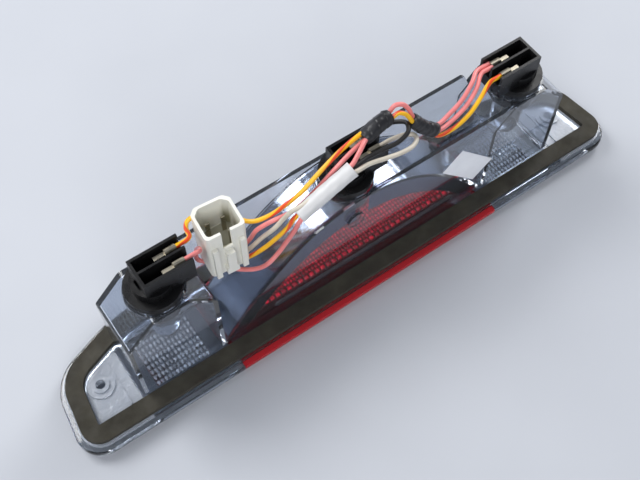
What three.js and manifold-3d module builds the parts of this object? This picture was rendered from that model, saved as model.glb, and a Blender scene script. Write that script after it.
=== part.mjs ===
// High-mounted third brake light of a pick-up cab, lying on its lens face.
//
// A two-colour lens closes a clear housing with three lamp chambers: the red stop lamp in the
// middle, under a metallised arch, and a clear cargo lamp at each end. Three twist-lock wedge-bulb
// sockets plug into the back, and one taped harness joins them to a four-way connector.
//
// Millimetres, +Z up and away from the lens, +X along the lamp, +Y towards its far long edge.
// The origin is under the middle of the lens, on the surface that the lamp lies on.

import * as THREE from 'three';
import { mergeVertices } from 'three/addons/utils/BufferGeometryUtils.js';
import Module from 'manifold-3d';

const wasm = await Module();
wasm.setup();

// ---- driving dimensions -------------------------------------------------------------------
const GAP = 0.3;                 // clearance between touching pieces
const CUT = 1;                   // how far a cutting solid runs past the surface it opens

const SEAL_LENGTH = 354;         // foam seal, corner to corner along X
const SEAL_WIDTH = 60;           // foam seal, along Y
const SEAL_THICKNESS = 3;
const SEAL_BAND = 9.5;           // width of the foam strip

const LENS_DEPTH = 7.2;          // lens face to the top of its rim
const LENS_RIM = 4;              // how far the lens rim stands out past the seal
const LENS_DOME = 4;             // height of the rounded edge of the lens face
const LENS_DOME_INSET = 13;
const LENS_FLOOR = 2.4;          // thickness of the lens face
const RED_HALF_LENGTH = 86.5;    // the red middle of the lens reaches this far each way

const FLANGE_THICKNESS = 2.5;
const FLANGE_RIM = 1;            // how far the housing flange stands out past the seal
const FLANGE_BOTTOM = LENS_DEPTH + GAP;
const BACK = FLANGE_BOTTOM + FLANGE_THICKNESS;   // height of the mounting face of the flange

const WALL = 2.2;                // wall of the clear housing
const NEAR_WALL = -18;           // outer face of the near chamber walls, in Y
const FAR_WALL = 15.6;           // outer face of the far chamber walls, in Y
const ROOF = 67;                 // top of the chambers above the flange
const ARCH_HALF = 88;            // half length of the stop lamp's arch at the flange
const WINDOW_HALF = 76;          // clear window in the near side of the reflector
const WINDOW_CROWN = 50;
const PLATE_TOP = 68;            // top of the far plate and of the label web
const CELL_INNER = 88;           // cargo cell, from here
const CELL_OUTER = 138;          // to here along X

const SOCKET_X = 112;            // sockets at -SOCKET_X, 0 and SOCKET_X
const SOCKET_Y = -2;
const COLLAR_TOP = 68;           // socket collar above the flange
const COLLAR_RADIUS = 15.5;
const HOLE_RADIUS = 12.2;
const NECK_RADIUS = 11.6;
const LUG_RADIUS = 13.2;
const LUG_COUNT = 3;
const LUG_ANGLE = Math.PI / 9;
const TWIST = Math.PI / 6;       // turn that frees a socket
const BOX_LENGTH = 26.5;         // rectangular head of a socket
const BOX_WIDTH = 17;
const BOX_TOP = 88;              // above the flange
const BOX_SHIFT = 6.5;           // the head stands this far off the twist axis
const CHANNEL_Y = 4.2;           // terminal channels, each side of the head's middle
const TAIL_RADIUS = 22.4;        // a wire leaves the socket's own space at this radius

const BOSS_X = 155;              // screw bosses
const BOSS_Y = -1;
const WIRE_RADIUS = 1.2;

// ---- materials ----------------------------------------------------------------------------
const look = (color, roughness, metalness = 0, opacity = 1) => new THREE.MeshStandardMaterial({
  color, roughness, metalness, opacity, transparent: opacity < 1,
});
const LOOKS = {
  clear: [0xd5dde6, 0.12, 0, 0.45],
  red: [0xb00612, 0.15, 0, 0.85],
  foam: [0x2a2926, 0.95],
  mirror: [0xc9cbd2, 0.08, 1],
  black: [0x121212, 0.4],
  rubber: [0x1d1d1d, 0.8],
  glass: [0xf2f4f4, 0.05, 0, 0.4],
  tin: [0xbfc0bd, 0.3, 1],
  nylon: [0xe9e6d6, 0.5],
  tape: [0x17171a, 0.55],
  sleeve: [0xf0efeb, 0.45],
  paper: [0xe6e8ea, 0.8],
  amber: [0xf5a800, 0.4],
  pink: [0xef7f8c, 0.4],
  white: [0xe8e2d2, 0.4],
  dark: [0x151515, 0.4],
};

// ---- geometry helpers ---------------------------------------------------------------------
function solid(geometry) {
  const bare = geometry.index ? geometry.toNonIndexed() : geometry.clone();
  bare.deleteAttribute('normal');
  bare.deleteAttribute('uv');
  const merged = mergeVertices(bare, 1e-4);
  return new wasm.Manifold(new wasm.Mesh({
    numProp: 3,
    vertProperties: new Float32Array(merged.attributes.position.array),
    triVerts: new Uint32Array(merged.index.array),
  }));
}

function geometryOf(body) {
  const mesh = body.getMesh();
  const geometry = new THREE.BufferGeometry();
  const positions = new THREE.BufferAttribute(new Float32Array(mesh.vertProperties), 3);
  geometry.setAttribute('position', positions);
  geometry.setIndex(new THREE.BufferAttribute(new Uint32Array(mesh.triVerts), 1));
  geometry.computeVertexNormals();
  return geometry;
}

const unite = (...bodies) => bodies.reduce((whole, body) => whole.add(body));
const cut = (body, ...tools) => tools.reduce((left, tool) => left.subtract(tool), body);

// A plate or prism standing on z0, from an outline in X and Y.
function prism(shape, z0, z1, options = {}) {
  const geometry = new THREE.ExtrudeGeometry(shape, {
    depth: z1 - z0, bevelEnabled: false, curveSegments: 6, ...options,
  });
  return solid(geometry.translate(0, 0, z0));
}

// A prism along Y, from an outline in X and Z.
function slab(shape, y0, y1, segments = 6) {
  const geometry = new THREE.ExtrudeGeometry(shape, {
    depth: y1 - y0, bevelEnabled: false, curveSegments: segments,
  });
  return solid(geometry.rotateX(Math.PI / 2).translate(0, y1, 0));
}

function block(x0, x1, y0, y1, z0, z1) {
  const geometry = new THREE.BoxGeometry(x1 - x0, y1 - y0, z1 - z0);
  return solid(geometry.translate((x0 + x1) / 2, (y0 + y1) / 2, (z0 + z1) / 2));
}

function post(x, y, radius, z0, z1, segments = 28) {
  const geometry = new THREE.CylinderGeometry(radius, radius, z1 - z0, segments);
  return solid(geometry.rotateX(Math.PI / 2).translate(x, y, (z0 + z1) / 2));
}

// A body of revolution about +Z from [radius, height] pairs.
function turned(profile, segments = 28) {
  const points = profile.map(([radius, height]) => new THREE.Vector2(radius, height));
  return new THREE.LatheGeometry(points, segments).rotateX(Math.PI / 2);
}

// A closed outline whose corners [x, y, radius] run counter-clockwise, grown by an offset.
function roundedOutline(corners, grow = 0) {
  const count = corners.length;
  const at = corners.map(([x, y]) => new THREE.Vector2(x, y));
  const shape = new THREE.Shape();
  corners.forEach(([, , radius], i) => {
    const before = at[i].clone().sub(at[(i + count - 1) % count]).normalize();
    const after = at[(i + 1) % count].clone().sub(at[i]).normalize();
    const start = Math.atan2(-before.x, before.y);
    const turn = Math.atan2(before.cross(after), before.dot(after));
    const reach = radius * Math.tan(turn / 2);
    const centre = at[i].clone().addScaledVector(before, -reach);
    centre.add(new THREE.Vector2(-before.y, before.x).multiplyScalar(radius));
    shape.absarc(centre.x, centre.y, radius + grow, start, start + turn, false);
  });
  shape.closePath();
  return shape;
}

// A round-sectioned cord through points [x, y, z].
function tube(points, radius, steps, sides = 8, squash = 1) {
  const path = new THREE.CatmullRomCurve3(points.map((p) => new THREE.Vector3(...p)));
  const section = new THREE.Shape();
  for (let i = 0; i < sides; i += 1) {
    const angle = (2 * Math.PI * i) / sides;
    const corner = [radius * Math.cos(angle), squash * radius * Math.sin(angle)];
    if (i === 0) section.moveTo(...corner);
    else section.lineTo(...corner);
  }
  section.closePath();
  return new THREE.ExtrudeGeometry(section, { steps, extrudePath: path, bevelEnabled: false });
}

const object = new THREE.Group();

function add(name, shape, finish, parent = object) {
  const geometry = shape.isBufferGeometry ? shape : geometryOf(shape);
  const mesh = new THREE.Mesh(geometry, look(...LOOKS[finish]));
  mesh.name = name;
  parent.add(mesh);
  return mesh;
}

// ---- outlines -----------------------------------------------------------------------------
const SIDE = SEAL_LENGTH / 2;
const EDGE = SEAL_WIDTH / 2;
const RIGHT_CORNERS = [
  [SIDE, -EDGE, 10.5],
  [SIDE - 5.5, EDGE - 16, 22],
  [SIDE - 49, EDGE, 80],
];
const LEFT_CORNERS = RIGHT_CORNERS.map(([x, y, radius]) => [-x, y, radius]).reverse();
const lampOutline = (grow) => roundedOutline([...RIGHT_CORNERS, ...LEFT_CORNERS], grow);

// The stop lamp's arch: a parabola on the flange, smaller by an inset at its foot and crown.
function archOutline(half, crown, foot = BACK) {
  const shape = new THREE.Shape();
  const drop = foot - BACK;
  const halfAtFoot = half * Math.sqrt(1 - drop / crown);
  shape.moveTo(-halfAtFoot, foot);
  shape.quadraticCurveTo(0, foot + 2 * (crown - drop), halfAtFoot, foot);
  shape.closePath();
  return shape;
}

// A cargo cell seen along Y: upright sides and sloping shoulders under the socket's roof.
function cellOutline(side, inset, foot) {
  const corners = [
    [CELL_OUTER - inset, foot, 0.01],
    [CELL_OUTER - inset, BACK + 51 - 0.6 * inset, 4 - 0.5 * inset],
    [122 - 0.4 * inset, BACK + ROOF - inset, 5],
    [101 + 0.4 * inset, BACK + ROOF - inset, 5],
    [CELL_INNER + inset, BACK + 53 - 0.6 * inset, 4 - 0.5 * inset],
    [CELL_INNER + inset, foot, 0.01],
  ];
  if (side > 0) return roundedOutline(corners);
  return roundedOutline(corners.map(([x, z, radius]) => [-x, z, radius]).reverse());
}

// ---- lens ---------------------------------------------------------------------------------
function lensWhole() {
  const body = prism(lampOutline(LENS_RIM), LENS_DOME, 2 * LENS_DEPTH, {
    bevelEnabled: true,
    bevelThickness: LENS_DOME,
    bevelSize: LENS_DOME_INSET,
    bevelOffset: -LENS_DOME_INSET,
    bevelSegments: 3,
  });
  const kept = block(-SIDE * 2, SIDE * 2, -SIDE, SIDE, -CUT, LENS_DEPTH);
  const hollow = prism(lampOutline(-SEAL_BAND), LENS_FLOOR, LENS_DEPTH + CUT);
  const holes = [-BOSS_X, BOSS_X].map((x) => unite(
    post(x, BOSS_Y, 2.7, -CUT, LENS_DEPTH + CUT, 24),
    post(x, BOSS_Y, 5.2, -CUT, 1.2, 24),
  ));
  const posts = [-BOSS_X, BOSS_X].map((x) => post(x, BOSS_Y, 6.5, 1.3, LENS_DEPTH, 24));
  return cut(unite(cut(body.intersect(kept), hollow), ...posts), ...holes);
}

function makeLens() {
  const whole = lensWhole();
  const join = GAP / 2;
  const part = (x0, x1) => whole.intersect(block(x0, x1, -SIDE, SIDE, -CUT, LENS_DEPTH + CUT));
  add('lens_stop_red', part(-RED_HALF_LENGTH + join, RED_HALF_LENGTH - join), 'red');
  add('lens_cargo_left', part(-SIDE * 2, -RED_HALF_LENGTH - join), 'clear');
  add('lens_cargo_right', part(RED_HALF_LENGTH + join, SIDE * 2), 'clear');
}

// ---- housing, seal and reflector ----------------------------------------------------------
function socketHole(x) {
  const hole = post(x, SOCKET_Y, HOLE_RADIUS, BACK + ROOF - 12, BACK + COLLAR_TOP + CUT);
  const notches = [];
  for (let i = 0; i < LUG_COUNT; i += 1) {
    const turn = TWIST + (2 * Math.PI * i) / LUG_COUNT;
    notches.push(lug(x, turn, LUG_RADIUS + GAP, LUG_ANGLE * 1.15,
      BACK + ROOF - 12, BACK + COLLAR_TOP + CUT));
  }
  return unite(hole, ...notches);
}

// A sector of a ring about a socket's axis: a bayonet lug or the notch it passes through.
function lug(x, turn, radius, width, z0, z1) {
  const shape = new THREE.Shape();
  shape.absarc(0, 0, radius, turn - width / 2, turn + width / 2, false);
  shape.absarc(0, 0, NECK_RADIUS - 1, turn + width / 2, turn - width / 2, true);
  shape.closePath();
  return prism(shape, z0, z1).translate([x, SOCKET_Y, 0]);
}

function makeHousing() {
  const foot = FLANGE_BOTTOM - CUT;
  const flange = prism(lampOutline(FLANGE_RIM), FLANGE_BOTTOM, BACK);
  const arch = slab(archOutline(ARCH_HALF, ROOF), NEAR_WALL, FAR_WALL, 36);
  const cells = [-1, 1].map((side) => slab(cellOutline(side, 0, BACK - CUT), NEAR_WALL, FAR_WALL));
  const sockets = [-SOCKET_X, 0, SOCKET_X];
  const collars = sockets.map((x) => post(
    x, SOCKET_Y, COLLAR_RADIUS, BACK + ROOF - 17, BACK + COLLAR_TOP,
  ));
  const farPlate = slab(roundedOutline([
    [ARCH_HALF + 12, BACK - CUT, 0.01],
    [ARCH_HALF + 12, BACK + 46, 2],
    [ARCH_HALF + 2, BACK + PLATE_TOP, 2],
    [-ARCH_HALF - 2, BACK + PLATE_TOP, 2],
    [-ARCH_HALF - 12, BACK + 46, 2],
    [-ARCH_HALF - 12, BACK - CUT, 0.01],
  ]), FAR_WALL - WALL, FAR_WALL);
  const labelWeb = block(4, 100, NEAR_WALL, NEAR_WALL + WALL, BACK - CUT, BACK + PLATE_TOP);
  const bosses = [-BOSS_X, BOSS_X].map((x) => unite(
    post(x, BOSS_Y, 7.5, BACK - CUT, BACK + 1.2),
    post(x, BOSS_Y, 4.8, BACK - CUT, BACK + 2.4),
  ));
  const ribs = [-146.5, 146.5].map((x) => block(
    x - 0.5, x + 0.5, NEAR_WALL - 1, 9, BACK - CUT, BACK + 0.7,
  ));
  const gateMark = new THREE.CylinderGeometry(5, 5, 2.6, 24);
  const gate = solid(gateMark.translate(-5, NEAR_WALL - 0.3, BACK + 52));
  const outer = unite(
    flange, arch, ...cells, ...collars, farPlate, labelWeb, ...bosses, ...ribs, gate,
  );

  const archHollow = slab(
    archOutline(ARCH_HALF - 2.7, ROOF - WALL, foot), NEAR_WALL + WALL, FAR_WALL - WALL, 36,
  );
  const cellHollows = [-1, 1].map((side) => slab(
    cellOutline(side, WALL, foot), NEAR_WALL + WALL, FAR_WALL - WALL,
  ));
  const holes = [-BOSS_X, BOSS_X].map((x) => post(x, BOSS_Y, 2.7, foot, BACK + 2.4 + CUT, 24));
  add('housing_clear', cut(
    outer, archHollow, ...cellHollows, ...sockets.map(socketHole), ...holes,
  ), 'clear');
}

function makeSeal() {
  const ring = cut(
    prism(lampOutline(0), BACK + GAP, BACK + GAP + SEAL_THICKNESS),
    prism(lampOutline(-SEAL_BAND), BACK, BACK + GAP + SEAL_THICKNESS + CUT),
  );
  add('foam_seal', ring, 'foam');
}

// The metallised lining of the stop chamber: arch, far side and a rim round the near window.
function makeReflector() {
  const sheet = 0.8;
  const foot = BACK + 0.5;
  const half = ARCH_HALF - 2.7 - 1.4 * GAP;
  const crown = ROOF - WALL - GAP;
  const near = NEAR_WALL + WALL + GAP;
  const far = FAR_WALL - WALL - GAP;
  const body = slab(archOutline(half, crown, foot), near, far, 36);
  const hollow = slab(
    archOutline(half - 1.2 * sheet, crown - sheet, foot - CUT), near + sheet, far - sheet, 36,
  );
  const windowHole = slab(
    archOutline(WINDOW_HALF, WINDOW_CROWN, foot - CUT), near - CUT, near + sheet + CUT, 28,
  );
  const socketClearance = post(0, SOCKET_Y, LUG_RADIUS + 1, BACK + 40, BACK + ROOF);
  add('stop_reflector', cut(body, hollow, windowHole, socketClearance), 'mirror');
}

function makeLabel() {
  const length = 38;
  const width = 16.5;
  const geometry = new THREE.BoxGeometry(length, 0.4, width);
  const mesh = add('paper_label', geometry, 'paper');
  mesh.rotation.y = THREE.MathUtils.degToRad(47.5);
  mesh.position.set(72, NEAR_WALL - GAP - 0.2, BACK + 36);
}

// ---- sockets and bulbs --------------------------------------------------------------------
// Built about its twist axis with the head reaching towards +X, then turned to face its wires.
function makeSocket(side, x, facing) {
  const group = new THREE.Group();
  group.position.set(x, SOCKET_Y, BACK);
  group.rotation.z = facing;
  object.add(group);

  const floor = 75;
  const x0 = BOX_SHIFT - BOX_LENGTH / 2;
  const x1 = BOX_SHIFT + BOX_LENGTH / 2;
  const half = BOX_WIDTH / 2;
  const shell = 1.5;
  const lugs = [];
  for (let i = 0; i < LUG_COUNT; i += 1) {
    const turn = (2 * Math.PI * i) / LUG_COUNT - facing;
    lugs.push(lug(0, turn, LUG_RADIUS, LUG_ANGLE, 57.8, 59.8).translate([0, -SOCKET_Y, 0]));
  }
  const neck = post(0, 0, NECK_RADIUS, 55, 71);
  const disc = post(0, 0, 14.5, 70.2, 72.4);
  const drum = post(0, 0, 10.4, 72, floor + 3);
  const head = block(x0, x1, -half, half, 72.3, BOX_TOP);
  const channels = [-1, 1].map((hand) => block(
    x0 + shell, x1 + CUT, hand > 0 ? 0.6 : -half + shell, hand > 0 ? half - shell : -0.6,
    floor, BOX_TOP + CUT,
  ));
  const sill = block(x1 - shell, x1, -half + shell - 0.5, half - shell + 0.5, floor - CUT, 80);
  const bulbSeat = post(0, 0, 9.2, 54, 64);
  const sideSlot = block(x0 - CUT, x0 + 2, -3.2, 3.2, 74, 79);
  const body = cut(
    unite(cut(unite(neck, disc, drum, head), ...channels, sideSlot), sill, ...lugs), bulbSeat,
  );
  add(`socket_${side}`, body, 'black', group);

  const ring = turned([[12.1, 68.3], [14.3, 68.3], [14.3, 69.9], [12.1, 69.9], [12.1, 68.3]], 28);
  add(`socket_seal_${side}`, ring, 'rubber', group);

  const bulb = turned([
    [0, 24], [3.5, 24.8], [6.4, 27.4], [7.7, 31.5], [7.9, 37], [7.9, 52],
    [6.8, 56], [5.6, 58], [5.6, 63.6], [0, 63.6],
  ], 18);
  add(`bulb_${side}`, bulb, 'glass', group);

  [-1, 1].forEach((hand) => {
    const y = hand * CHANNEL_Y;
    const blade = block(x1 - 15, x1 - 9, y - 0.4, y + 0.4, floor + GAP, 84.4);
    const strip = block(x1 - 15, x1 - 7, y - 1.1, y + 1.1, 83.4, 84.4);
    const barrelGeometry = new THREE.CylinderGeometry(1.9, 1.9, 6, 12);
    const barrel = solid(barrelGeometry.rotateZ(Math.PI / 2).translate(x1 - 6, y, 84.6));
    const label = facing === 0 ? hand : -hand;
    add(`terminal_${side}_${label > 0 ? 'far' : 'near'}`, unite(blade, strip, barrel), 'tin', group);
  });
  return group;
}

// A short tail of wire that turns with its socket, from the crimp out to the tail radius.
function makeTail(name, group, y, finish) {
  const crimpEnd = BOX_SHIFT + BOX_LENGTH / 2 - 3 + GAP;
  const outer = Math.sqrt(TAIL_RADIUS ** 2 - y ** 2);
  const path = [[crimpEnd, y, 84.7], [outer, y, 84.7]];
  add(name, tube(path, WIRE_RADIUS, 2), finish, group);
}

// ---- connector ----------------------------------------------------------------------------
function makeConnector() {
  const group = new THREE.Group();
  group.position.set(-72, 2.3, BACK + 53);
  group.rotation.z = THREE.MathUtils.degToRad(-5);
  object.add(group);
  const height = 36;
  const outline = (inset) => roundedOutline([
    [10.5 - inset, -9.5 + inset, 2], [10.5 - inset, 7 - inset, 2], [7.5 - inset, 10 - inset, 3],
    [-7.5 + inset, 10 - inset, 3], [-10.5 + inset, 7 - inset, 2], [-10.5 + inset, -9.5 + inset, 2],
  ]);
  const hood = prism(outline(0), 0, height);
  const mouth = prism(outline(1.5), 15, height + CUT);
  const keyway = block(-2.5, 2.5, -10.5, -7.5, 22, height + CUT);
  const latch = unite(
    block(-3.2, 3.2, -12.6, -9, 2, 7),
    block(-2.2, 2.2, -12.6, -11, 2, 20),
    block(-2.2, 2.2, -11.5, -9, 17, 20),
  );
  const guides = [-7.2, 7.2].map((x) => block(x - 1.4, x + 1.4, -11.6, -9, 0, 26));
  const wireHoles = [-1, 1].flatMap((i) => [-1, 1].map((j) => post(i * 4.2, j * 4, 1.7, -CUT, 5, 12)));
  const body = unite(cut(hood, mouth, keyway), latch, ...guides);
  add('connector_housing', cut(body, ...wireHoles), 'nylon', group);
  const wiredWays = [[4.2, 4], [4.2, -4], [-4.2, 4]];
  wiredWays.forEach(([x, y], i) => {
    const blade = new THREE.BoxGeometry(2.2, 0.8, 12).translate(x, y, 15 + GAP + 6);
    add(`connector_pin_${i + 1}`, blade, 'tin', group);
  });
}

// ---- harness ------------------------------------------------------------------------------
// Routes in the object's own frame, chosen by hand: [name, finish, points].
const TAIL_REACH = Math.sqrt(TAIL_RADIUS ** 2 - CHANNEL_Y ** 2) + 3 * GAP;
const LEFT_TAIL_X = TAIL_REACH - SOCKET_X;
const RIGHT_TAIL_X = SOCKET_X - TAIL_REACH;
const CENTRE_TAIL_X = TAIL_REACH;
const FAR_Y = SOCKET_Y + CHANNEL_Y;
const NEAR_Y = SOCKET_Y - CHANNEL_Y;
const TAIL_Z = BACK + 84.7;

const WIRES = [
  ['wire_left_amber', 'amber', [
    [LEFT_TAIL_X, FAR_Y, TAIL_Z], [-87, 3.3, 94.5], [-85.7, 9, 92.6], [-82.2, 13.8, 90],
    [-75, 15.4, 86.5], [-67, 15, 82], [-60.2, 11.2, 79], [-57, 6, 76.8], [-53, 1.8, 77.8],
    [-46, -2, 82], [-38, -4.4, 87.6], [-30, -5.5, 92.6], [-16, -4.5, 100.6], [-4, -3.2, 105.4],
    [5.8, -2.6, 107.8],
  ]],
  ['wire_left_pink', 'pink', [
    [LEFT_TAIL_X, NEAR_Y, TAIL_Z], [-86.8, -5.4, 93.2], [-85.4, -1.5, 88], [-85, 3, 80],
    [-84.9, 6.6, 69], [-83.8, 7, 62], [-79.4, 5, 58.4], [-73, -1.4, 55.6],
    [-66, -8, 56], [-61, -12, 58], [-56.5, -14.2, 61.2],
    [-50, -14.2, 65.6], [-44, -14, 72], [-40, -15.2, 80.5], [-38.2, -16.8, 88.4],
  ]],
  ['wire_feed_pink', 'pink', [
    [-67.5, 5.9, 62.7], [-66.6, 5.6, 58.4], [-61, 3.6, 58], [-57, 1, 65], [-54, -1.8, 75],
    [-48, -4.8, 81], [-36, -7.8, 84.8], [-24, -8.2, 91.2], [-13, -7.8, 98.7], [-3, -6.8, 103.6],
    [5.8, -5.4, 105.6],
  ]],
  ['wire_feed_orange', 'amber', [
    [-68.2, -2, 62.7], [-67.6, -2.5, 59.2], [-61.5, -5, 60.5], [-54.5, -8.4, 67], [-48, -10.6, 74],
    [-42.6, -12.6, 81.5], [-38.6, -13.8, 89.4],
  ]],
  ['wire_feed_white', 'white', [
    [-75.8, 6.6, 62.7], [-75, 6, 57.5], [-68, 3, 54.5], [-60.5, -1.4, 60.6], [-53, -4.8, 71],
    [-47.2, -8.3, 79.8], [-42.8, -10, 87], [-39, -12, 93.2],
  ]],
  ['wire_sleeve_pink', 'pink', [
    [-4.2, -12.9, 105.6], [0, -11.2, 107.8], [3.6, -9.2, 108.6], [6.4, -7.4, 108.4],
  ]],
  ['wire_centre_white', 'white', [
    [-4, -16.4, 103.2], [4, -15.6, 101.6], [13, -17, 100.5], [22, -18, 99.2],
    [29, -17.4, 98.2], [33.6, -14.6, 97.6], [34, -11.2, 97], [30.5, -8.6, 96.4],
    [26.4, -6.9, 95.2], [CENTRE_TAIL_X, NEAR_Y, TAIL_Z],
  ]],
  ['wire_centre_black', 'dark', [
    [-3.4, -13.1, 102.2], [6, -12, 101.6], [15, -12.7, 101.6], [24, -13.2, 101.8],
    [30.5, -11.2, 102.6], [32.6, -7, 102.8], [30.8, -2.6, 100.4], [27.4, 1.2, 97],
    [24.8, 2.2, 95.2], [CENTRE_TAIL_X, FAR_Y, TAIL_Z],
  ]],
  ['wire_arc_pink', 'pink', [
    [26.2, -0.6, 109.8], [29.2, -0.6, 112.4], [33, -2.2, 112.2], [35.4, -4.6, 108.8],
    [36, -6, 105.9],
  ]],
  ['wire_arc_amber', 'amber', [
    [26.2, -3.6, 108.8], [29, -4, 110.2], [31.6, -5.4, 109.4], [33.6, -7.2, 106.8],
    [34.4, -8.4, 104.8],
  ]],
  ['wire_right_pink_1', 'pink', [
    [49.2, -12, 94.2], [58, -10, 93.6], [69, -7, 94.4], [79.5, -2, 96], [86, 2.6, 95.4],
    [RIGHT_TAIL_X, FAR_Y + 1.4, TAIL_Z],
  ]],
  ['wire_right_pink_2', 'pink', [
    [48.2, -14.3, 92.8], [58, -13, 91.8], [70, -10, 92.6], [80.5, -5, 94.2], [86, -0.6, 94.7],
    [RIGHT_TAIL_X, FAR_Y - 1.4, TAIL_Z],
  ]],
  ['wire_right_amber', 'amber', [
    [47.4, -15.4, 90.3], [57, -15.8, 89], [69, -13.8, 89.8], [80, -9.8, 92.4],
    [86, -7.1, 94], [RIGHT_TAIL_X, NEAR_Y, TAIL_Z],
  ]],
];

function makeHarness(left, centre, right) {
  WIRES.forEach(([name, finish, points]) => {
    const length = new THREE.CatmullRomCurve3(points.map((p) => new THREE.Vector3(...p))).getLength();
    add(name, tube(points, WIRE_RADIUS, Math.max(6, Math.round(length / 5))), finish);
  });
  makeTail('tail_left_amber', left, CHANNEL_Y, 'amber');
  makeTail('tail_left_pink', left, -CHANNEL_Y, 'pink');
  makeTail('tail_centre_white', centre, -CHANNEL_Y, 'white');
  makeTail('tail_centre_black', centre, CHANNEL_Y, 'dark');
  makeTail('tail_right_pink_1', right, -CHANNEL_Y - 1.35, 'pink');
  makeTail('tail_right_pink_2', right, -CHANNEL_Y + 1.35, 'pink');
  makeTail('tail_right_amber', right, CHANNEL_Y, 'amber');

  add('harness_sleeve', tube([[-36.8, -14.8, 90.6], [-21, -14.8, 98], [-5.6, -14.6, 104]],
    4.6, 8, 12, 0.8), 'sleeve');
  add('tape_wrap_1', tube([[8.4, -4.8, 106.4], [16, -3.2, 108.4], [24.8, -2, 109]],
    4.6, 5, 12, 0.9), 'tape');
  add('tape_wrap_2', tube([[35.8, -8, 103.8], [40.5, -11.2, 98.4], [46.8, -13.6, 93.8]],
    4.2, 5, 12, 0.9), 'tape');
}

makeLens();
makeHousing();
makeSeal();
makeReflector();
makeLabel();
const leftSocket = makeSocket('left', -SOCKET_X, 0);
const centreSocket = makeSocket('centre', 0, 0);
const rightSocket = makeSocket('right', SOCKET_X, Math.PI);
makeConnector();
makeHarness(leftSocket, centreSocket, rightSocket);

export default object;
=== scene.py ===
"""Looks of the high-mounted third brake light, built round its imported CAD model.

Lengths are millimetres in the CAD frame, and become metres in mesh_object() or through MM. The
floor and the lights are given in metres.
"""

import math

import bmesh
import bpy
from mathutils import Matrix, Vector, noise


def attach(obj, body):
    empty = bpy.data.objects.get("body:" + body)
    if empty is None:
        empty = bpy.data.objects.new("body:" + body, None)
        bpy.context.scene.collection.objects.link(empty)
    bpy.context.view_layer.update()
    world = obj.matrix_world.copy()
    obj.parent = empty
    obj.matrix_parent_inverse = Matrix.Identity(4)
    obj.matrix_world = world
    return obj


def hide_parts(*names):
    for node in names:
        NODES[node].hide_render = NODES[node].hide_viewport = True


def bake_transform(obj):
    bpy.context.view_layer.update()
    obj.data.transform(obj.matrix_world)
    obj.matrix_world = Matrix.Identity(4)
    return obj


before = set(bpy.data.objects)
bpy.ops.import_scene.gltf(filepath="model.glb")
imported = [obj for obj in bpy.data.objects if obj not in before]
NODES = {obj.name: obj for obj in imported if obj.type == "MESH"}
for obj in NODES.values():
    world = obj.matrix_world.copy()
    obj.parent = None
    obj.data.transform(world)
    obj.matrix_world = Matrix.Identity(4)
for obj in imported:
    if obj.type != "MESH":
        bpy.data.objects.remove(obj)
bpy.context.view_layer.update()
MM = 0.001


# ---- the main dimensions, as in the CAD ----------------------------------------------------
SEAL_HALF = 177.0               # half of the seal's length
SEAL_EDGE = 30.0                # half of the seal's width
SEAL_BAND = 9.5                 # width of the band of foam
LENS_DEPTH = 7.2
LENS_RIM = 4.0                  # how far the lens rim stands out past the seal
LENS_DOME = 4.0                 # height of the rounded edge of the lens face
LENS_ROUND = 13.0               # width of that rounded edge
LENS_FLOOR = 2.4                # thickness of the lens face
RED_HALF = 86.5
HALF_JOINT = 0.15               # half of the gap between two colours of the lens
OPTIC_FOOT = LENS_FLOOR + 0.35
BACK = 10.0                     # height of the mounting face of the flange
NEAR_WALL = -18.0
MATT_FROM = 140.0               # the flange is matt further out along X than this
PAINTED_REFLECTION_Y = -15.1             # nearer along Y than this, the metallised lining gets a painted dark-blue reflection
SOCKETS = {"left": (-112.0, 1), "centre": (0.0, 1), "right": (112.0, -1)}   # X, wires' side
SOCKET_Y = -2.0
CHANNEL = 4.2                   # from a socket's middle to each of its terminals
TAIL_Z = BACK + 84.7            # height of the wires where they enter a socket
FILAMENT_Z = BACK + 36
MOUTH_X = (-80.9, -62.9)        # the connector's mouth
MOUTH_Y = (-6.1, 10.1)
WIRE = 2.4
PAIR_SHIFT = 1.35               # from the middle of a crimp to each of its two wires
SLEEVE_RADIUS = 4.25
SLEEVE_SQUASH = 0.78
LABEL_SIZE = (38.0, 16.5)
LABEL_TILT = 47.5
LABEL_PLACE = (72.0, NEAR_WALL - 0.45, BACK + 36)


# ---- camera ---------------------------------------------------------------------------------
camera_data = bpy.data.cameras.new("camera")
camera_data.lens = 53.6
camera = bpy.data.objects.new("camera", camera_data)
bpy.context.scene.collection.objects.link(camera)
camera.location = Vector((-163.2, -214.5, 483.2)) * MM
camera.rotation_mode = "QUATERNION"
camera.rotation_quaternion = Vector((0.281, 0.4055, -0.870)).to_track_quat("-Z", "Y")
bpy.context.scene.camera = camera


# ---- mesh helpers ---------------------------------------------------------------------------
def mesh_object(name, vertices, faces, uvs=None, smooth=True):
    """A mesh object from points in millimetres; uvs is one pair for each corner of each face."""
    mesh = bpy.data.meshes.new(name)
    mesh.from_pydata([Vector(v) * MM for v in vertices], [], faces)
    if uvs:
        layer = mesh.uv_layers.new(name="UVMap")
        for loop, uv in zip(layer.data, uvs):
            loop.uv = uv
    mesh.validate()
    mesh.polygons.foreach_set("use_smooth", [smooth] * len(mesh.polygons))
    piece = bpy.data.objects.new(name, mesh)
    bpy.context.scene.collection.objects.link(piece)
    return piece


def finish_piece(piece, material, body="lamp"):
    """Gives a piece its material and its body."""
    piece.data.materials.clear()
    piece.data.materials.append(material)
    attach(piece, body)


def soften(piece, width):
    """Rounded edges for a hard-edged mesh."""
    bevel = piece.modifiers.new("edges", "BEVEL")
    bevel.width = width * MM
    bevel.segments = 2
    bevel.limit_method = "ANGLE"
    bevel.angle_limit = math.radians(35)
    bevel.harden_normals = False
    bevel.miter_outer = "MITER_ARC"


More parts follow.
